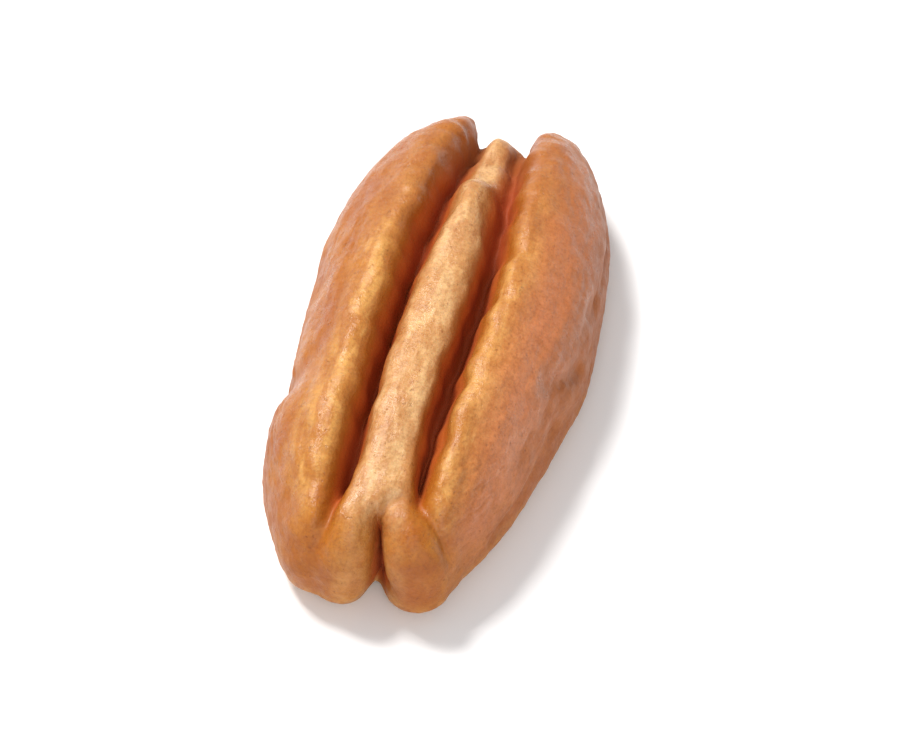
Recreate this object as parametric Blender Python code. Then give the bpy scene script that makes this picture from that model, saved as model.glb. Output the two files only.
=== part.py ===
"""A shelled pecan half, lying on its flat inner face.

Y runs along the kernel, from the cleft at its stem end (-Y) to its tip (+Y). X runs across it and Z is up.
The origin is on the plane that the kernel rests on, under the middle of its length and width.

The surface is a set of slices that run lengthwise, side by side from the left flank to the right one. Each
slice is a closed loop over the back and under the inner face. The furrows follow slices, so that their
bottoms are sharp.
"""

import math

import bmesh
import bpy
import numpy as np

# The shape functions work in millimetres and this brings their points to metres.
MM = 0.001

# Driving dimensions of the whole half.
LENGTH = 38.0
WIDTH = 18.5
HEIGHT = 9.5

# The smooth body before it is furrowed: the height of its widest line, and where it is widest and highest.
WAIST_HEIGHT = 2.5
WIDEST_AT = 0.0
HIGHEST_AT = -1.0
SOLE_SINK = 0.16

# The two furrows of the rounded back and the cleft of the stem end.
FURROW_AT = 2.6
FURROW_DEPTH = 3.2
CLEFT_DEPTH = 2.4

# The larger wrinkles of the flanks: side, one end and the other end as (y, z), depth and reach.
WRINKLES = (
    (-1, (-5.8, 7.0), (-7.0, 1.0), 0.22, 0.9),
    (-1, (3.5, 3.2), (11.0, 4.6), 0.2, 0.7),
    (1, (-12.5, 2.6), (-4.5, 4.2), 0.3, 0.6),
    (1, (-3.5, 6.6), (-0.5, 4.6), 0.35, 0.7),
    (1, (3.0, 5.4), (10.5, 3.6), 0.25, 0.6),
)

# Mesh density.
RIDGE_SLICES = 13
LOBE_SLICES = 17
BACK_POINTS = 62
SOLE_POINTS = 28


def along(y, *stations):
    """A value that runs smoothly through hand-set (place, value) stations, level beyond both ends."""
    at = np.array([station[0] for station in stations], dtype=float)
    value = np.array([station[1] for station in stations], dtype=float)
    slope = np.gradient(value, at)
    slope[[0, -1]] = 0.0
    i = np.clip(np.searchsorted(at, y) - 1, 0, len(at) - 2)
    span = at[i + 1] - at[i]
    s = np.clip((y - at[i]) / span, 0.0, 1.0)
    start = (1 + 2 * s) * (1 - s) ** 2 * value[i] + s * (1 - s) ** 2 * span * slope[i]
    end = s**2 * (3 - 2 * s) * value[i + 1] + s**2 * (s - 1) * span * slope[i + 1]
    return start + end


def dome(y, peak, bluntness, roundness):
    """1 at the peak, falling to 0 at both ends. Each of the last two is (stem end, tip end)."""
    half = LENGTH / 2
    share = np.where(y < peak, (peak - y) / (peak + half), (y - peak) / (half - peak))
    blunt = np.where(y < peak, *bluntness)
    power = np.where(y < peak, *roundness)
    return np.clip(1 - share**blunt, 0, 1) ** (1 / power)


def arch(share, bluntness):
    """1 in the middle, falling to 0 where the share across is 1."""
    return np.clip(1 - np.abs(share) ** bluntness, 0, 1) ** (1 / bluntness)


def bell(value, centre, reach):
    """A smooth bell of height 1."""
    return np.exp(-(((value - centre) / reach) ** 2))


def slit(distance, reach):
    """1 on the line of a narrow slit, falling off steeply beside it and then softly."""
    return np.exp(-((np.abs(distance) / reach) ** 1.2))


def from_line(y, z, start, end):
    """How far points are from a straight line between two (y, z) places on a flank."""
    along_y, along_z = end[0] - start[0], end[1] - start[1]
    share = ((y - start[0]) * along_y + (z - start[1]) * along_z) / (along_y**2 + along_z**2)
    share = np.clip(share, 0, 1)
    return np.hypot(y - start[0] - share * along_y, z - start[1] - share * along_z)


def rising(value, low, high):
    """0 below low, 1 above high, smooth between."""
    s = np.clip((value - low) / (high - low), 0, 1)
    return s * s * (3 - 2 * s)


def spread(count, low, high, crowd):
    """count values from low to high, closer together where crowd(value) is larger."""
    fine = np.linspace(low, high, 4001)
    weight = crowd(fine)
    total = np.concatenate([[0], np.cumsum((weight[1:] + weight[:-1]) / 2)])
    return np.interp(np.linspace(0, total[-1], count), total, fine)


def slice_grid():
    """The lane of each slice, which is its X at mid-length, and the turn of each point round its slice."""
    furrow_lean = math.asin(2 * FURROW_AT / WIDTH)

    def by_furrow(lean):
        return 1 + 3.2 * bell(np.abs(lean), furrow_lean, 0.11) + 2.6 * bell(lean, 0, 0.07)

    def by_stem_end(turn):
        return 1 + 1.2 * bell(turn, 0.55, 0.45) + 0.4 * bell(turn, 2.8, 0.3)

    ridge = spread(RIDGE_SLICES + 1, 0, furrow_lean, by_furrow)
    lobe = spread(LOBE_SLICES + 2, furrow_lean, math.pi / 2, by_furrow)[1:-1]
    right = np.concatenate([ridge, lobe])
    lean = np.concatenate([-right[:0:-1], right])
    back = spread(BACK_POINTS + 1, 0, math.pi, by_stem_end)[:-1]
    sole = spread(SOLE_POINTS + 1, math.pi, 2 * math.pi, lambda turn: by_stem_end(2 * math.pi - turn))[:-1]
    return WIDTH / 2 * np.sin(lean)[:, None], np.concatenate([back, sole])[None, :]


def half_width(y, side):
    """The half width of the smooth body on the left (-1) and on the right (1)."""
    left = 8.75 + along(y, (-18, 0.2), (-16, 0.6), (-13, 0.7), (-8.8, 0.35), (-7, -0.35), (-5, -0.25))
    left += along(y, (-5, 0), (1, 0.35), (7, 0.7), (13, 0.3), (17, -1.2))
    left *= dome(y, WIDEST_AT, (2.6, 3.0), (2.1, 1.8))
    right = 9.5 * dome(y, WIDEST_AT, (1.7, 2.8), (2.4, 1.8))
    right += 0.75 * bell(y, -17.6, 1.7) + 0.2 * bell(y, 0, 3.5)
    return np.where(side < 0, left, right)


def furrow_line(y, side):
    """How far from the middle each furrow runs."""
    left = along(y, (-19, 3.1), (-17, 2.7), (-8, 2.7), (-3, 2.85), (3, 2.85), (8, 2.5), (14, 1.9), (18, 1.3))
    right = along(y, (-19, 3.6), (-15, 3.1), (-11, 2.9), (-7, 2.8), (-2, 3.0), (4, 3.05), (10, 2.5), (18, 1.6))
    wander = 0.08 * np.sin(1.75 * y + 0.8 * side) + 0.05 * np.sin(3.1 * y + 2 * side)
    return np.where(side < 0, left, right) + wander * rising(y, -13, -9) * rising(-y, -16, -12)


def surface(lane, turn):
    """The surface in millimetres, for each lane and turn, before it is centred and sized."""
    side = np.sign(lane)
    lean = np.arcsin(2 * lane / WIDTH)
    forward = -np.cos(lean) * np.cos(turn)
    y = LENGTH / 2 * forward
    share = np.sin(lean) / np.sqrt(np.maximum(1 - forward**2, 1e-9))

    middle = np.clip(forward, -0.93, 0.93)
    even = half_width(LENGTH / 2 * middle, side) * 2 * FURROW_AT / WIDTH / np.sqrt(1 - middle**2)
    pull = furrow_line(LENGTH / 2 * middle, side) / even
    pull = 1 + (pull - 1) * rising(-np.abs(lane), -7, -3)
    share = pull * share / (1 + (pull - 1) * share**2)
    bend = along(y, (-19, 1.1), (-17.5, 0.75), (-16, 0.4), (-11, 0))
    x = half_width(y, side) * share
    x += bend * bell(x, 0, 2.6)

    up = np.sin(turn)
    rise = (HEIGHT + 1.0 - WAIST_HEIGHT) * dome(y, HIGHEST_AT, (3.4, 2.6), (2.2, 2.0))
    drop = (WAIST_HEIGHT + SOLE_SINK) * dome(y, 0.0, (4.5, 4.0), (2.4, 2.4))
    z = WAIST_HEIGHT + np.where(up > 0, rise * arch(share, 2.2), -drop * arch(share, 3.4))

    depth = carved_depth(lane + 0 * turn, turn + 0 * lane, y, z)
    spine = np.clip(y, 6.5 - LENGTH / 2, LENGTH / 2 - 6.5)
    inward = np.stack([-0.35 * x, spine - y, WAIST_HEIGHT + 0.6 - z], axis=-1)
    inward /= np.linalg.norm(inward, axis=-1, keepdims=True)
    points = np.stack([x, y, z], axis=-1) + depth[..., None] * inward
    points[..., 2] = np.maximum(points[..., 2], 0)
    return points


def furrows(lane, y):
    """The two furrows. Their walls are steeper beside the lobes than beside the ridge."""
    left_run = along(y, (-19, 0.03), (-16.7, 0.16), (-14.5, 0.8), (-10, 1), (8, 1), (15, 0.85), (19, 0.65))
    right_run = along(y, (-19, 0.03), (-15.5, 0.14), (-13.5, 0.8), (-9, 1), (8, 1), (15, 0.85), (19, 0.65))
    left_slope = along(y, (-15, 0.45), (-12, 0.75), (-4, 0.8), (3, 1.0), (9, 1.4))
    right_slope = along(y, (-15, 0.4), (-11, 0.5), (-4, 0.6), (3, 0.8), (9, 1.4))
    depth = np.zeros_like(y)
    for side, run, slope, wall in ((-1, left_run, left_slope, 0.4), (1, right_run, right_slope, 0.5)):
        beside = side * lane - FURROW_AT
        narrow = bell(beside, 0, np.where(beside > 0, wall, slope))
        wide = bell(beside, 0, np.where(beside > 0, 1.0, 1.55))
        depth += FURROW_DEPTH * run * (0.68 * narrow + 0.32 * wide)
    return depth


def stem_lips(lane, turn, y):
    """The cleft, the rounded right lip under its arched crease, and the left lip with the crease beside it."""
    run = along(y, (-19, 1), (-17.8, 0.85), (-15.6, 0))
    cleft = CLEFT_DEPTH * run * (0.8 * slit(lane, 0.36) + 0.2 * bell(lane, 0, 1.1))
    from_end = np.minimum(turn, 2 * math.pi - turn)
    from_lip = np.hypot((lane - 1.7) / 2.7, from_end / 0.6)
    right_lip = -0.45 * np.sqrt(np.clip(1 - from_lip**2, 0, 1)) * rising(from_end, -0.3, 0.45)
    # The left lip is fullest just above the table.
    left_reach = rising(-from_end, -0.8, -0.3) + 0.9 * rising(turn, 4.6, 5.3) * rising(-turn, -6.0, -5.7)
    left_lip = -0.6 * bell(lane, -1.2, 1.1) * left_reach
    arched_crease = 0.4 * bell(from_lip, 1.04, 0.11) * rising(turn, 0.05, 0.3) * rising(-turn, -1.2, -0.9)
    left_crease = 0.6 * bell(lane, -2.5, 0.3) * rising(turn, 0.1, 0.45) * rising(-turn, -0.8, -0.6)
    return cleft + (right_lip + arched_crease) * rising(lane, -0.1, 0.6) + left_lip + left_crease


def wrinkles(lane, y, z):
    """The larger wrinkles of the two flanks."""
    depth = np.zeros_like(y)
    for side, start, end, deep, reach in WRINKLES:
        on_flank = rising(side * lane, 3.4, 4.8)
        depth += deep * on_flank * bell(from_line(y, z, start, end), 0, reach)
    return depth


def carved_depth(lane, turn, y, z):
    """How far each point of the smooth body is pressed in to make all that is hollow in it."""
    on_back = rising(z, 0.2, 2.0)
    sag = 0.9 * bell(lane, 0, 2.8)
    ridge_end = 1.8 * bell(lane, 0.1, 1.7) * rising(y, 8.6, 11.2) * (1 - 0.7 * rising(y, 12.5, 17.5))
    tip_notch = 0.9 * bell(lane, 0, 2.2) * rising(y, 15.5, 18.6)
    lobe_ends = (0.8 * bell(lane, -3.6, 2.0) + 0.15 * bell(lane, 3.4, 1.6)) * rising(-y, 14.5, 17.5)
    channel_run = along(y, (-17.5, 0), (-13.5, 0.9), (0, 0.8), (10, 0.7), (15, 0))
    channel = 1.1 * channel_run * bell(lane, 0, 1.7) * rising(-np.sin(turn), 0.05, 0.45)
    hollow = (furrows(lane, y) + sag + ridge_end) * on_back + stem_lips(lane, turn, y)
    return hollow + wrinkles(lane, y, z) + tip_notch - lobe_ends + channel


def kernel_points():
    """The points of each slice and the two points that close the flanks, sized and centred, in metres."""
    lane, turn = slice_grid()
    slices = surface(lane, turn)
    flanks = surface(np.array([-WIDTH / 2, WIDTH / 2]), np.array([math.pi / 2, math.pi / 2]))
    every_point = np.concatenate([slices.reshape(-1, 3), flanks])
    low, high = every_point.min(0), every_point.max(0)
    middle = (low + high) / 2 * (1, 1, 0)
    scale = np.array([WIDTH, LENGTH, HEIGHT]) / (high - low) * MM
    return (slices - middle) * scale, (flanks - middle) * scale


def kernel_mesh():
    slices, flanks = kernel_points()
    mesh = bpy.data.meshes.new("kernel")
    form = bmesh.new()
    loops = [[form.verts.new(point) for point in line] for line in slices]
    count = len(loops[0])
    for near, far in zip(loops, loops[1:]):
        for i in range(count):
            j = (i + 1) % count
            form.faces.new((near[i], far[i], far[j], near[j]))
    for loop, flank in ((loops[0], flanks[0]), (loops[-1], flanks[1])):
        pole = form.verts.new(flank)
        for i in range(count):
            form.faces.new((pole, loop[i], loop[(i + 1) % count]))
    bmesh.ops.triangulate(form, faces=form.faces, quad_method="SHORT_EDGE")
    bmesh.ops.recalc_face_normals(form, faces=form.faces)
    form.to_mesh(mesh)
    form.free()
    mesh.shade_smooth()
    return mesh


def skin_material():
    material = bpy.data.materials.new("pecan_skin")
    material.use_nodes = True
    shader = material.node_tree.nodes["Principled BSDF"]
    shader.inputs["Base Color"].default_value = (0.46, 0.19, 0.06, 1.0)
    shader.inputs["Roughness"].default_value = 0.5
    shader.inputs["Metallic"].default_value = 0.0
    return material


def main():
    for old in list(bpy.data.objects):
        bpy.data.objects.remove(old)
    kernel = bpy.data.objects.new("kernel", kernel_mesh())
    kernel.data.materials.append(skin_material())
    bpy.context.scene.collection.objects.link(kernel)


if __name__ == "__main__":
    main()
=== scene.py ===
"""A shelled pecan half on a white table, seen as in the photograph.

The form is part.py's, with the same values and functions and a finer mesh. skin_relief adds what is too
fine for the solid, and the materials add the colours and the sheen.
"""

import math

import bpy
import numpy as np
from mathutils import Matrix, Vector, noise


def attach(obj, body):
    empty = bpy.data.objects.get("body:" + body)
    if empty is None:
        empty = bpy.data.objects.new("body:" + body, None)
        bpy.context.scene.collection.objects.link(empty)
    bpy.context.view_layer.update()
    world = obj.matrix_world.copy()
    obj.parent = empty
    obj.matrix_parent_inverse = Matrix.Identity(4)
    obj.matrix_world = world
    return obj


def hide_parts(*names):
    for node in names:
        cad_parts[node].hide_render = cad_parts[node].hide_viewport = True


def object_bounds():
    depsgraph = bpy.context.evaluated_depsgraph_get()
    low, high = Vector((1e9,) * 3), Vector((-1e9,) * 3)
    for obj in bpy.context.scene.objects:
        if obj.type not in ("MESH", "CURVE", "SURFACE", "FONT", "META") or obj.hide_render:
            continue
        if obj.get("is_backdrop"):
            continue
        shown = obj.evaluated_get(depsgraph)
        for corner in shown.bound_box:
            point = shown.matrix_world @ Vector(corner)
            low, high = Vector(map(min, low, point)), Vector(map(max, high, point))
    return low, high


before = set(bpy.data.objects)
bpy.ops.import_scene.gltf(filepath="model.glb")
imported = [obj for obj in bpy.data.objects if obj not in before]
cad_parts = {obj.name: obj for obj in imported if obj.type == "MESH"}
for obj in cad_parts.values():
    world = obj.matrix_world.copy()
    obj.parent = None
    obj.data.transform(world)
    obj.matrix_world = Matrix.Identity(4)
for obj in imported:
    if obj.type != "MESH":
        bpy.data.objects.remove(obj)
cad_low, cad_high = (np.array(corner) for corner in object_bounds())
MM = 0.001
TINY = 1e-9

# The form of the CAD solid, in millimetres.

# Driving dimensions of the whole half.
LENGTH = 38.0
WIDTH = 18.5
HEIGHT = 9.5

# The smooth body before it is furrowed: the height of its widest line, and where it is widest and highest.
WAIST_HEIGHT = 2.5
WIDEST_AT = 0.0
HIGHEST_AT = -1.0
SOLE_SINK = 0.16

# How far the crown stands over the finished height before it is carved.
CROWN_EXTRA = 1.0

# How far towards the ends, as a share of the half length, the slices follow the furrow lines.
FOLLOWED_SHARE = 0.93

# The spine that carved skin is pressed towards: how far its ends are from the kernel's ends, its height above
# the waist, and how much of the way sideways the press goes.
SPINE_INSET = 6.5
SPINE_RISE = 0.6
SPINE_SIDEWAYS = 0.35

# The two furrows of the rounded back and the cleft of the stem end.
FURROW_AT = 2.6
FURROW_DEPTH = 3.2
CLEFT_DEPTH = 2.4

# The larger wrinkles of the flanks: side, one end and the other end as (y, z), depth and reach.
WRINKLES = (
    (-1, (-5.8, 7.0), (-7.0, 1.0), 0.22, 0.9),
    (-1, (3.5, 3.2), (11.0, 4.6), 0.2, 0.7),
    (1, (-12.5, 2.6), (-4.5, 4.2), 0.3, 0.6),
    (1, (-3.5, 6.6), (-0.5, 4.6), 0.35, 0.7),
    (1, (3.0, 5.4), (10.5, 3.6), 0.25, 0.6),
)


def along(y, *stations):
    """A value that runs smoothly through given (place, value) stations, level beyond both ends."""
    at = np.array([station[0] for station in stations], dtype=float)
    value = np.array([station[1] for station in stations], dtype=float)
    slope = np.gradient(value, at)
    slope[[0, -1]] = 0.0
    i = np.clip(np.searchsorted(at, y) - 1, 0, len(at) - 2)
    span = at[i + 1] - at[i]
    s = np.clip((y - at[i]) / span, 0.0, 1.0)
    start = (1 + 2 * s) * (1 - s) ** 2 * value[i] + s * (1 - s) ** 2 * span * slope[i]
    end = s**2 * (3 - 2 * s) * value[i + 1] + s**2 * (s - 1) * span * slope[i + 1]
    return start + end


def dome(y, peak, bluntness, roundness):
    """1 at the peak, falling to 0 at both ends. Each of the last two is (stem end, tip end)."""
    half = LENGTH / 2
    share = np.where(y < peak, (peak - y) / (peak + half), (y - peak) / (half - peak))
    blunt = np.where(y < peak, *bluntness)
    power = np.where(y < peak, *roundness)
    return np.clip(1 - share**blunt, 0, 1) ** (1 / power)


def arch(share, bluntness):
    """1 in the middle, falling to 0 where the share across is 1."""
    return np.clip(1 - np.abs(share) ** bluntness, 0, 1) ** (1 / bluntness)


def bell(value, centre, reach):
    """A smooth bell of height 1."""
    return np.exp(-(((value - centre) / reach) ** 2))


def slit(distance, reach):
    """1 on the line of a narrow slit, falling off steeply beside it and then softly."""
    return np.exp(-((np.abs(distance) / reach) ** 1.2))


def from_line(y, z, start, end):
    """How far points are from a straight line between two (y, z) places on a flank."""
    along_y, along_z = end[0] - start[0], end[1] - start[1]
    share = ((y - start[0]) * along_y + (z - start[1]) * along_z) / (along_y**2 + along_z**2)
    share = np.clip(share, 0, 1)
    return np.hypot(y - start[0] - share * along_y, z - start[1] - share * along_z)


def rising(value, low, high):
    """0 below low, 1 above high, smooth between."""
    s = np.clip((value - low) / (high - low), 0, 1)
    return s * s * (3 - 2 * s)


SPREAD_STEPS = 4001


def spread(count, low, high, crowd):
    """count values from low to high, closer together where crowd(value) is larger."""
    fine = np.linspace(low, high, SPREAD_STEPS)
    weight = crowd(fine)
    total = np.concatenate([[0], np.cumsum((weight[1:] + weight[:-1]) / 2)])
    return np.interp(np.linspace(0, total[-1], count), total, fine)


def half_width(y, side):
    """The half width of the smooth body on the left (-1) and on the right (1)."""
    left = 8.75 + along(y, (-18, 0.2), (-16, 0.6), (-13, 0.7), (-8.8, 0.35), (-7, -0.35), (-5, -0.25))
    left += along(y, (-5, 0), (1, 0.35), (7, 0.7), (13, 0.3), (17, -1.2))
    left *= dome(y, WIDEST_AT, (2.6, 3.0), (2.1, 1.8))
    right = 9.5 * dome(y, WIDEST_AT, (1.7, 2.8), (2.4, 1.8))
    right += 0.75 * bell(y, -17.6, 1.7) + 0.2 * bell(y, 0, 3.5)
    return np.where(side < 0, left, right)


def furrow_line(y, side):
    """How far from the middle each furrow runs."""
    left = along(
        y, (-19, 3.1), (-17, 2.7), (-8, 2.7), (-3, 2.85), (3, 2.85), (8, 2.5), (14, 1.9), (18, 1.3)
    )
    right = along(
        y, (-19, 3.6), (-15, 3.1), (-11, 2.9), (-7, 2.8), (-2, 3.0), (4, 3.05), (10, 2.5), (18, 1.6)
    )
    wander = 0.08 * np.sin(1.75 * y + 0.8 * side) + 0.05 * np.sin(3.1 * y + 2 * side)
    return np.where(side < 0, left, right) + wander * rising(y, -13, -9) * rising(-y, -16, -12)


def surface(lane, turn):
    """The surface in millimetres, for each lane and turn, before it is centred and sized."""
    side = np.sign(lane)
    lean = np.arcsin(2 * lane / WIDTH)
    forward = -np.cos(lean) * np.cos(turn)
    y = LENGTH / 2 * forward
    share = np.sin(lean) / np.sqrt(np.maximum(1 - forward**2, TINY))

    middle = np.clip(forward, -FOLLOWED_SHARE, FOLLOWED_SHARE)
    even = half_width(LENGTH / 2 * middle, side) * 2 * FURROW_AT / WIDTH / np.sqrt(1 - middle**2)
    pull = furrow_line(LENGTH / 2 * middle, side) / even
    pull = 1 + (pull - 1) * rising(-np.abs(lane), -7, -3)
    share = pull * share / (1 + (pull - 1) * share**2)
    bend = along(y, (-19, 1.1), (-17.5, 0.75), (-16, 0.4), (-11, 0))
    x = half_width(y, side) * share
    x += bend * bell(x, 0, 2.6)

    up = np.sin(turn)
    rise = (HEIGHT + CROWN_EXTRA - WAIST_HEIGHT) * dome(y, HIGHEST_AT, (3.4, 2.6), (2.2, 2.0))
    drop = (WAIST_HEIGHT + SOLE_SINK) * dome(y, 0.0, (4.5, 4.0), (2.4, 2.4))
    z = WAIST_HEIGHT + np.where(up > 0, rise * arch(share, 2.2), -drop * arch(share, 3.4))

    depth = carved_depth(lane + 0 * turn, turn + 0 * lane, y, z)
    spine = np.clip(y, SPINE_INSET - LENGTH / 2, LENGTH / 2 - SPINE_INSET)
    inward = np.stack([-SPINE_SIDEWAYS * x, spine - y, WAIST_HEIGHT + SPINE_RISE - z], axis=-1)
    inward /= np.linalg.norm(inward, axis=-1, keepdims=True)
    points = np.stack([x, y, z], axis=-1) + depth[..., None] * inward
    points[..., 2] = np.maximum(points[..., 2], 0)
    return points


def furrows(lane, y):
    """The two furrows. Their walls are steeper beside the lobes than beside the ridge."""
    left_run = along(y, (-19, 0.03), (-16.7, 0.16), (-14.5, 0.8), (-10, 1), (8, 1), (15, 0.85), (19, 0.65))
    right_run = along(y, (-19, 0.03), (-15.5, 0.14), (-13.5, 0.8), (-9, 1), (8, 1), (15, 0.85), (19, 0.65))
    left_slope = along(y, (-15, 0.45), (-12, 0.75), (-4, 0.8), (3, 1.0), (9, 1.4))
    right_slope = along(y, (-15, 0.4), (-11, 0.5), (-4, 0.6), (3, 0.8), (9, 1.4))
    depth = np.zeros_like(y)
    for side, run, slope, wall in ((-1, left_run, left_slope, 0.4), (1, right_run, right_slope, 0.5)):
        beside = side * lane - FURROW_AT
        narrow = bell(beside, 0, np.where(beside > 0, wall, slope))
        wide = bell(beside, 0, np.where(beside > 0, 1.0, 1.55))
        depth += FURROW_DEPTH * run * (0.68 * narrow + 0.32 * wide)
    return depth


def stem_lips(lane, turn, y):
    """The cleft, the right lip under its arched crease, and the left lip with the crease beside it."""
    run = along(y, (-19, 1), (-17.8, 0.85), (-15.6, 0))
    cleft = CLEFT_DEPTH * run * (0.8 * slit(lane, 0.36) + 0.2 * bell(lane, 0, 1.1))
    from_end = np.minimum(turn, 2 * math.pi - turn)
    from_lip = np.hypot((lane - 1.7) / 2.7, from_end / 0.6)
    right_lip = -0.45 * np.sqrt(np.clip(1 - from_lip**2, 0, 1)) * rising(from_end, -0.3, 0.45)
    # The left lip is fullest just above the table.
    left_reach = rising(-from_end, -0.8, -0.3) + 0.9 * rising(turn, 4.6, 5.3) * rising(-turn, -6.0, -5.7)
    left_lip = -0.6 * bell(lane, -1.2, 1.1) * left_reach
    arched_crease = 0.4 * bell(from_lip, 1.04, 0.11) * rising(turn, 0.05, 0.3) * rising(-turn, -1.2, -0.9)
    left_crease = 0.6 * bell(lane, -2.5, 0.3) * rising(turn, 0.1, 0.45) * rising(-turn, -0.8, -0.6)
    return cleft + (right_lip + arched_crease) * rising(lane, -0.1, 0.6) + left_lip + left_crease


def wrinkles(lane, y, z):
    """The larger wrinkles of the two flanks."""
    depth = np.zeros_like(y)
    for side, start, end, deep, reach in WRINKLES:
        on_flank = rising(side * lane, 3.4, 4.8)
        depth += deep * on_flank * bell(from_line(y, z, start, end), 0, reach)
    return depth


def carved_depth(lane, turn, y, z):
    """How far each point of the smooth body is pressed in to make all that is hollow in it."""
    on_back = rising(z, 0.2, 2.0)
    sag = 0.9 * bell(lane, 0, 2.8)
    ridge_end = 1.8 * bell(lane, 0.1, 1.7) * rising(y, 8.6, 11.2) * (1 - 0.7 * rising(y, 12.5, 17.5))
    tip_notch = 0.9 * bell(lane, 0, 2.2) * rising(y, 15.5, 18.6)
    lobe_ends = (0.8 * bell(lane, -3.6, 2.0) + 0.15 * bell(lane, 3.4, 1.6)) * rising(-y, 14.5, 17.5)
    channel_run = along(y, (-17.5, 0), (-13.5, 0.9), (0, 0.8), (10, 0.7), (15, 0))
    channel = 1.1 * channel_run * bell(lane, 0, 1.7) * rising(-np.sin(turn), 0.05, 0.45)
    hollow = (furrows(lane, y) + sag + ridge_end) * on_back + stem_lips(lane, turn, y)
    return hollow + wrinkles(lane, y, z) + tip_notch - lobe_ends + channel


# Fine relief of the skin, in millimetres.

RIDGE_SLICES = 46
LOBE_SLICES = 76
BACK_POINTS = 250
SOLE_POINTS = 90


def fine_grid():
    """The lane of each slice and the turn of each point round it, for 166,600 triangles."""
    furrow_lean = math.asin(2 * FURROW_AT / WIDTH)

    def by_furrow(lean):
        return 1 + 1.2 * bell(np.abs(lean), furrow_lean, 0.14) + 1.0 * bell(lean, 0, 0.07)

    def by_stem_end(turn):
        return 1 + 0.8 * bell(turn, 0.4, 0.45) + 0.4 * bell(turn, 2.8, 0.3)

    ridge = spread(RIDGE_SLICES + 1, 0, furrow_lean, by_furrow)
    lobe = spread(LOBE_SLICES + 2, furrow_lean, math.pi / 2, by_furrow)[1:-1]
    right = np.concatenate([ridge, lobe])
    lean = np.concatenate([-right[:0:-1], right])
    back = spread(BACK_POINTS + 1, 0, math.pi, by_stem_end)[:-1]
    sole = spread(SOLE_POINTS + 1, math.pi, 2 * math.pi, lambda turn: by_stem_end(2 * math.pi - turn))[:-1]
    return WIDTH / 2 * np.sin(lean)[:, None], np.concatenate([back, sole])[None, :]


def cloud(points, size, stretch, seed, octaves):
    """Smooth noise of about -1 to 1 at each point, in lumps of that size, stretched along X, Y and Z."""
    at = points / size / np.array(stretch) + seed
    return np.array([noise.fractal(place, 0.9, 2.1, octaves) for place in at.tolist()])


def creases(points, size, stretch, seed, width):
    """1 on thin wandering lines and 0 away from them, broken into lengths."""
    line = np.clip(1 - np.abs(cloud(points, size, stretch, seed, 2)) / width, 0, 1)
    there = rising(cloud(points, 3.5, (1, 1, 1), seed + 5, 1), -0.1, 0.35)
    return line**1.5 * there


def outward(grid):
    """Unit normals of a grid of points that is closed along its second axis."""
    across = np.gradient(grid, axis=0)
    round_slice = np.roll(grid, -1, axis=1) - np.roll(grid, 1, axis=1)
    normal = np.cross(across, round_slice)
    return normal / np.maximum(np.linalg.norm(normal, axis=-1, keepdims=True), TINY)


def skin_relief(points, lane):
    """How far the skin stands proud of the smooth form, and how much of a crease each point lies in."""
    y, z = points[:, 1], points[:, 2]
    beside = np.abs(lane) - FURROW_AT
    back = rising(z, 0.25, 1.6)
    edge = rising(beside, 0.0, 0.5) * rising(-beside, -2.4, -0.9)
    lobe = rising(beside, 0.9, 2.2)
    to_tip = rising(y, -3, 7)

    lumps = cloud(points, 4.2, (1, 1.5, 1), 3.1, 2)
    folds = cloud(points, 1.7, (1, 2.0, 1), 11.7, 3)
    crinkle = cloud(points, 0.7, (1, 1.2, 1), 23.4, 2)
    scallops = cloud(points, 1.05, (3.0, 0.8, 2.2), 41.0, 2)
    long_folds = creases(points, 2.6, (0.8, 3.2, 1.0), 57.0, 0.5)
    slant_folds = creases(points + points[:, [1, 0, 2]] * (0.5, 0, 0), 1.5, (2.0, 0.9, 1.3), 71.0, 0.35)
    ribs = cloud(points, 0.55, (4.0, 0.8, 3.0), 83.0, 2)
    veins = creases(points, 1.25, (0.9, 4.5, 0.9), 97.0, 0.28)

    crease = 0.8 * long_folds * lobe + 0.7 * slant_folds * edge * (0.3 + 0.7 * to_tip)
    relief = 0.18 * lumps + 0.10 * folds + 0.028 * crinkle + 0.03 * ribs * lobe - 0.07 * veins * lobe
    relief += 0.15 * scallops * edge * (0.35 + 0.65 * to_tip) - 0.11 * crease
    return relief * back, np.clip((crease + 0.6 * veins * lobe) * back, 0, 1)


def fine_points():
    """The points of the skin in millimetres, how hollow and how creased each place is, and its lane."""
    lane, turn = fine_grid()
    grid = surface(lane, turn)
    flank_lanes, flank_turns = np.array([-WIDTH / 2, WIDTH / 2]), np.array([math.pi / 2, math.pi / 2])
    points = np.concatenate([grid.reshape(-1, 3), surface(flank_lanes, flank_turns)])
    low, high = points.min(0), points.max(0)
    middle = (low + high) / 2 * (1, 1, 0)
    scale = np.array([WIDTH, LENGTH, HEIGHT]) / (high - low)
    points = (points - middle) * scale
    normals = np.concatenate([outward((grid - middle) * scale).reshape(-1, 3), [(-1, 0, 0), (1, 0, 0)]])

    lane, turn = (values.ravel() for values in np.broadcast_arrays(lane, turn))
    lane, turn = np.append(lane, flank_lanes), np.append(turn, flank_turns)
    y = -LENGTH / 2 * np.cos(np.arcsin(2 * lane / WIDTH)) * np.cos(turn)
    hollow = furrows(lane, y) * rising(points[:, 2], 0.2, 2.0)
    hollow += 1.5 * np.maximum(stem_lips(lane, turn, y), 0)
    hollow = np.clip(hollow / FURROW_DEPTH, 0, 1)
    relief, crease = skin_relief(points, lane)
    points = points + relief[:, None] * normals
    points[:, 2] = np.maximum(points[:, 2], 0)
    return points, hollow, crease, lane


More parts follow.
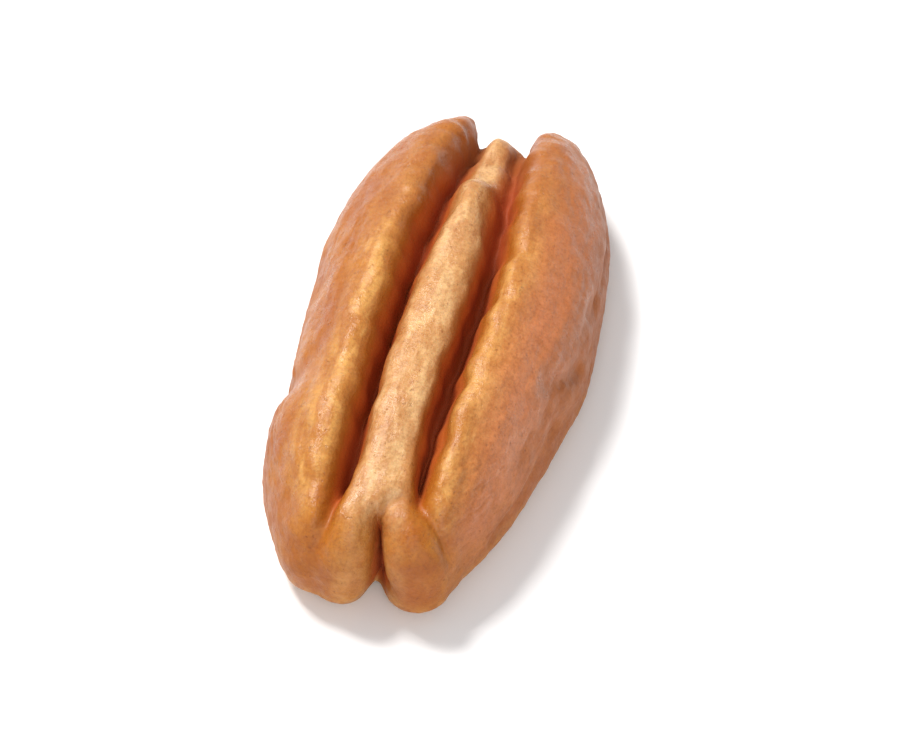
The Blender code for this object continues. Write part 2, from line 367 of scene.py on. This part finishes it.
def make_kernel():
    """The fine mesh, brought to the CAD box, with the values that its material reads."""
    points, hollow, crease, lane = fine_points()
    rows, count = 2 * (RIDGE_SLICES + LOBE_SLICES) + 1, BACK_POINTS + SOLE_POINTS
    low, high = points.min(0), points.max(0)
    points = (points - low) / (high - low) * (cad_high - cad_low) + cad_low
    i, j = np.meshgrid(np.arange(rows - 1), np.arange(count), indexing="ij")
    k = (j + 1) % count
    quads = np.stack([i * count + j, (i + 1) * count + j, (i + 1) * count + k, i * count + k], axis=-1)
    ring = np.arange(count)
    following = (ring + 1) % count
    last = (rows - 1) * count
    left_fan = np.stack([ring, following, np.full(count, rows * count)], axis=-1)
    right_fan = np.stack([last + following, last + ring, np.full(count, rows * count + 1)], axis=-1)
    faces = quads.reshape(-1, 4).tolist() + left_fan.tolist() + right_fan.tolist()
    mesh = bpy.data.meshes.new("pecan_half")
    mesh.from_pydata(points.tolist(), [], faces)
    for name, value in (("hollow", hollow), ("crease", crease), ("lane", lane)):
        mesh.attributes.new(name, "FLOAT", "POINT").data.foreach_set("value", value)
    mesh.shade_smooth()
    piece = bpy.data.objects.new("pecan_half", mesh)
    bpy.context.scene.collection.objects.link(piece)
    return piece


# Materials.

AMBER = (0.45, 0.155, 0.016, 1.0)
ORANGE = (0.34, 0.088, 0.009, 1.0)
GOLD = (0.64, 0.32, 0.085, 1.0)
PALE = (0.74, 0.46, 0.21, 1.0)
ROSE = (0.68, 0.245, 0.110, 1.0)
RUSSET = (0.15, 0.030, 0.006, 1.0)
RUST = (0.42, 0.085, 0.010, 1.0)
DUSKY = (0.36, 0.105, 0.030, 1.0)
DEEP = (0.30, 0.044, 0.007, 1.0)
UMBER = (0.24, 0.066, 0.014, 1.0)
CREAM = (0.66, 0.40, 0.17, 1.0)
TABLE_SHADES = ((0.90, 0.90, 0.905, 1.0), (0.925, 0.925, 0.93, 1.0))

BUMP_STRENGTH = 0.65
BUMP_DEPTH = 0.00016
SUBSURFACE_DEPTH = 0.0009


class Nodes:
    """Short calls for building a node tree."""

    def __init__(self, material):
        material.use_nodes = True
        self.tree = material.node_tree
        self.shader = self.tree.nodes["Principled BSDF"]

    def add(self, kind, inputs=(), **settings):
        node = self.tree.nodes.new(kind)
        for name, value in settings.items():
            setattr(node, name, value)
        for name, value in dict(inputs).items():
            self.put(node.inputs[name], value)
        return node

    def put(self, socket, value):
        """Links a node's output, or sets a constant on the socket itself."""
        if isinstance(value, bpy.types.NodeSocket):
            self.tree.links.new(value, socket)
        else:
            socket.default_value = value

    def set_shader(self, **looks):
        """Sets the shader's own inputs, such as Base_Color."""
        for name, value in looks.items():
            self.put(self.shader.inputs[name.replace("_", " ")], value)

    def math(self, operation, a, b=0.0):
        return self.add("ShaderNodeMath", {0: a, 1: b}, operation=operation).outputs[0]

    def times(self, a, b):
        return self.math("MULTIPLY", a, b)

    def noise(self, vector, scale, detail=4.0, roughness=0.55, distortion=0.0):
        inputs = {
            "Vector": vector,
            "Scale": scale,
            "Detail": detail,
            "Roughness": roughness,
            "Distortion": distortion,
        }
        return self.add("ShaderNodeTexNoise", inputs).outputs["Fac"]

    def range(self, value, low, high, to_low=0.0, to_high=1.0):
        """to_low where the value is low, to_high where it is high, smooth between."""
        inputs = {"Value": value, "From Min": low, "From Max": high, "To Min": to_low, "To Max": to_high}
        return self.add("ShaderNodeMapRange", inputs, interpolation_type="SMOOTHSTEP").outputs["Result"]

    def fade(self, share, at_none, at_full):
        """A value that runs from at_none to at_full as the share goes from 0 to 1."""
        return self.range(share, 0.0, 1.0, at_none, at_full)

    def mix(self, share, a, b):
        node = self.add("ShaderNodeMix", {0: share}, data_type="RGBA")
        self.put(node.inputs[6], a)
        self.put(node.inputs[7], b)
        return node.outputs[2]

    def stretched(self, vector, scale):
        return self.add("ShaderNodeMapping", {"Vector": vector, "Scale": scale}).outputs["Vector"]

    def attribute(self, name):
        return self.add("ShaderNodeAttribute", attribute_name=name).outputs["Fac"]


class SkinFields:
    """What the skin's looks go by: places in millimetres, the values that the mesh carries, and noises."""

    def __init__(self, n):
        place = n.add("ShaderNodeTexCoord").outputs["Object"]
        to_mm = {0: place, 1: (1 / MM, 1 / MM, 1 / MM)}
        self.mm = n.add("ShaderNodeVectorMath", to_mm, operation="MULTIPLY").outputs["Vector"]
        apart = n.add("ShaderNodeSeparateXYZ", {"Vector": self.mm})
        self.y, self.height = apart.outputs["Y"], apart.outputs["Z"]
        self.hollow, self.crease, self.lane = (n.attribute(name) for name in ("hollow", "crease", "lane"))
        self.beside = n.math("ABSOLUTE", self.lane)
        self.furrow = n.range(self.hollow, 0.28, 0.58)

        lengthwise = n.stretched(self.mm, (1.0, 0.25, 1.0))
        self.patches = n.range(n.noise(self.mm, 0.30, 4.0, 0.6, 0.2), 0.34, 0.66)
        self.streaks = n.range(n.noise(lengthwise, 0.9, 5.0, 0.6, 0.4), 0.39, 0.64)
        self.mottle = n.range(n.noise(self.mm, 1.5, 5.0, 0.65, 0.3), 0.38, 0.66)
        self.specks = n.range(n.noise(self.mm, 2.6, 2.0, 0.5), 0.66, 0.76)
        self.grain = n.noise(self.mm, 4.5, 4.0, 0.7)


def lobe_and_ridge_colour(n, at):
    """The large tones: golden crests, partly a painted highlight; a rosier right lobe, partly a painted
    sheen;
    a pale ridge; and deeper flanks, partly painted shade.
    """
    colour = n.mix(n.times(at.patches, 0.85), AMBER, ORANGE)
    # Golden crests: partly the kernel's paler tone, partly a painted highlight along the tops of the crests.
    across_crest = n.times(n.range(at.beside, 2.9, 3.8), n.range(at.beside, 6.8, 4.4))
    crest_tone_and_highlight = n.times(n.times(across_crest, n.range(at.height, 5.0, 8.0)), n.range(at.y, 0.0, 14.0, 1.0, 0.5))
    colour = n.mix(n.times(crest_tone_and_highlight, n.fade(at.streaks, 0.35, 1.0)), colour, GOLD)
    # The rosier right lobe: partly its own tone, partly a painted pinkish sheen, strongest higher up its
    # side.
    right_rose_and_sheen = n.times(n.range(at.lane, 3.5, 7.0), n.range(at.height, 2.0, 6.5, 0.35, 1.0))
    colour = n.mix(n.times(right_rose_and_sheen, 0.75), colour, ROSE)
    # The right flank's darker umber: partly its own tone, partly a painted shadow across it.
    far_flank_tone_and_shadow = n.times(n.range(at.lane, 5.5, 8.5), n.range(at.y, -11.0, 3.0))
    colour = n.mix(n.times(far_flank_tone_and_shadow, 0.42), colour, UMBER)
    ridge = n.times(n.range(at.beside, 2.2, 1.3), n.range(at.y, -17.5, -14.0, 0.2, 1.0))
    colour = n.mix(n.times(ridge, n.fade(at.streaks, 0.45, 0.9)), colour, PALE)
    colour = n.mix(n.times(at.mottle, 0.35), colour, ORANGE)
    # The lower outer flanks are darker orange: partly their own tone, partly painted shade where they turn
    # from the light.
    flank = n.times(n.range(at.beside, 4.6, 8.0), n.range(at.height, 7.5, 3.5))
    return n.mix(n.times(flank, n.fade(at.streaks, 0.75, 0.3)), colour, ORANGE)


def weathered_colour(n, at, colour):
    """Duller towards the tip, partly as painted shade, with specks, grain and creases, the creases darker
    partly as painted shade, and a golden rim above a creamy sole.
    """
    # Duller towards the tip: partly the tip's own darker tone, partly painted shade over the far end.
    tip_tone_and_shade = n.times(n.range(at.y, 1.0, 15.0), n.range(at.beside, 1.2, 3.0))
    colour = n.mix(n.times(tip_tone_and_shade, n.fade(at.mottle, 0.6, 0.3)), colour, DUSKY)
    colour = n.mix(n.times(at.specks, 0.35), colour, RUSSET)
    colour = n.mix(n.range(at.grain, 0.40, 0.75, 0.0, 0.35), colour, RUSSET)
    # Darker along the creases: the veins' own tone, and painted shade in the folds.
    colour = n.mix(n.times(at.crease, 0.22), colour, UMBER)
    rim = n.times(n.range(at.height, 2.6, 0.8), n.fade(at.mottle, 0.5, 0.1))
    colour = n.mix(rim, colour, GOLD)
    sole = n.mix(n.times(at.mottle, 0.5), CREAM, AMBER)
    return n.mix(n.range(at.height, 0.9, 0.1, 0.0, 0.7), colour, sole)


def furrow_colour(n, at, colour):
    """Rust red down into the furrows, browner and fainter where they open at the tip."""
    shoulder = n.range(at.hollow, 0.08, 0.34)
    bottom = n.range(at.hollow, 0.55, 0.95)
    open_end = n.range(at.y, 10.0, 17.0)
    wall = n.mix(open_end, RUST, UMBER)
    colour = n.mix(n.times(shoulder, 0.6), colour, ORANGE)
    colour = n.mix(n.times(at.furrow, n.fade(open_end, 0.9, 0.6)), colour, wall)
    return n.mix(n.times(bottom, n.fade(open_end, 0.9, 0.3)), colour, DEEP)


def skin_roughness(n, at):
    """Glossiest on the crests, duller down the flanks and in the furrows."""
    rough = n.range(n.noise(at.mm, 0.9, 4.0, 0.6), 0.35, 0.65, 0.20, 0.37)
    rough = n.math("ADD", rough, n.times(n.range(at.height, 7.0, 4.0), 0.22))
    return n.math("ADD", rough, n.times(at.furrow, 0.35))


def skin_bump(n, at):
    """Fine wrinkles, grain and pitted specks."""
    wrinkle = n.noise(n.stretched(at.mm, (1.0, 0.45, 1.0)), 1.7, 5.0, 0.6, 0.5)
    relief = n.math("ADD", n.times(wrinkle, 0.6), n.times(at.grain, 0.45))
    relief = n.math("SUBTRACT", relief, n.times(at.specks, 0.25))
    bump = n.add("ShaderNodeBump", {"Height": relief, "Strength": BUMP_STRENGTH, "Distance": BUMP_DEPTH})
    return bump.outputs["Normal"]


def skin_material():
    material = bpy.data.materials.new("pecan_skin_fine")
    n = Nodes(material)
    at = SkinFields(n)
    colour = lobe_and_ridge_colour(n, at)
    colour = weathered_colour(n, at, colour)
    n.set_shader(
        Base_Color=furrow_colour(n, at, colour),
        Roughness=skin_roughness(n, at),
        Specular_IOR_Level=0.33,
        Subsurface_Weight=0.08,
        Subsurface_Radius=(1.0, 0.25, 0.08),
        Subsurface_Scale=SUBSURFACE_DEPTH,
        Normal=skin_bump(n, at),
    )
    return material


def floor_material():
    material = bpy.data.materials.new("white_table")
    n = Nodes(material)
    place = n.add("ShaderNodeTexCoord").outputs["Object"]
    shade = n.range(n.noise(place, 18.0, 3.0), 0.3, 0.7)
    n.set_shader(Base_Color=n.mix(shade, *TABLE_SHADES), Roughness=0.42, Specular_IOR_Level=0.35)
    return material


# The piece and the table.

kernel = make_kernel()
kernel.data.materials.append(skin_material())
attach(kernel, "root")
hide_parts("kernel")

TABLE_REACH = 2.0
centre = Vector(((cad_low[0] + cad_high[0]) / 2, (cad_low[1] + cad_high[1]) / 2, cad_low[2]))
corners = [(x * TABLE_REACH, y * TABLE_REACH, 0) for x, y in ((-1, -1), (1, -1), (1, 1), (-1, 1))]
table = bpy.data.objects.new("table", bpy.data.meshes.new("table"))
table.data.from_pydata(corners, [], [(0, 1, 2, 3)])
table.location = centre
table.data.materials.append(floor_material())
bpy.context.scene.collection.objects.link(table)
table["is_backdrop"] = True

# The camera. The kernel's cleft points at the viewer, 14.5 degrees to its right and 50 degrees up.

AZIMUTH = math.radians(14.5)
ELEVATION = math.radians(50.0)
DISTANCE = 0.45
FRAME_HEIGHT = 46.0 * MM
ASPECT = 910 / 741
SENSOR_WIDTH = 36.0
CLIP_START, CLIP_END = 0.01, 10.0
AIM = Vector((0.0012, -0.0008, 0.0035))

to_right = Vector((math.cos(AZIMUTH), math.sin(AZIMUTH), 0))
to_back = Vector((-math.sin(AZIMUTH), math.cos(AZIMUTH), 0))
to_viewer = -to_back * math.cos(ELEVATION) + Vector((0, 0, math.sin(ELEVATION)))
target = centre + AIM
camera = bpy.data.objects.new("camera", bpy.data.cameras.new("camera"))
camera.location = target + to_viewer * DISTANCE
camera.rotation_mode = "QUATERNION"
camera.rotation_quaternion = (-to_viewer).to_track_quat("-Z", "Y")
camera.data.sensor_width = SENSOR_WIDTH
camera.data.lens = SENSOR_WIDTH * DISTANCE / (FRAME_HEIGHT * ASPECT)
camera.data.clip_start = CLIP_START
camera.data.clip_end = CLIP_END
bpy.context.scene.collection.objects.link(camera)
bpy.context.scene.camera = camera


def area_light(name, place, size, power, colour):
    """A soft square light, so far to the viewer's right, away from the viewer and up, in metres."""
    light = bpy.data.objects.new(name, bpy.data.lights.new(name, "AREA"))
    light.location = centre + to_right * place[0] + to_back * place[1] + Vector((0, 0, place[2]))
    light.rotation_mode = "QUATERNION"
    light.rotation_quaternion = (target - light.location).to_track_quat("-Z", "Y")
    light.data.size = size
    light.data.energy = power
    light.data.color = colour
    bpy.context.scene.collection.objects.link(light)


area_light("key", (-0.18, 0.19, 0.41), size=0.14, power=2.8, colour=(1.0, 0.985, 0.96))
area_light("fill", (0.04, -0.38, 0.28), size=0.30, power=0.98, colour=(1.0, 0.985, 0.97))

world = bpy.data.worlds.new("studio")
world.use_nodes = True
background = world.node_tree.nodes["Background"]
background.inputs["Color"].default_value = (0.96, 0.98, 1.0, 1.0)
background.inputs["Strength"].default_value = 0.50
bpy.context.scene.world = world
bpy.context.scene.view_settings.view_transform = "Standard"
bpy.context.scene.view_settings.look = "None"
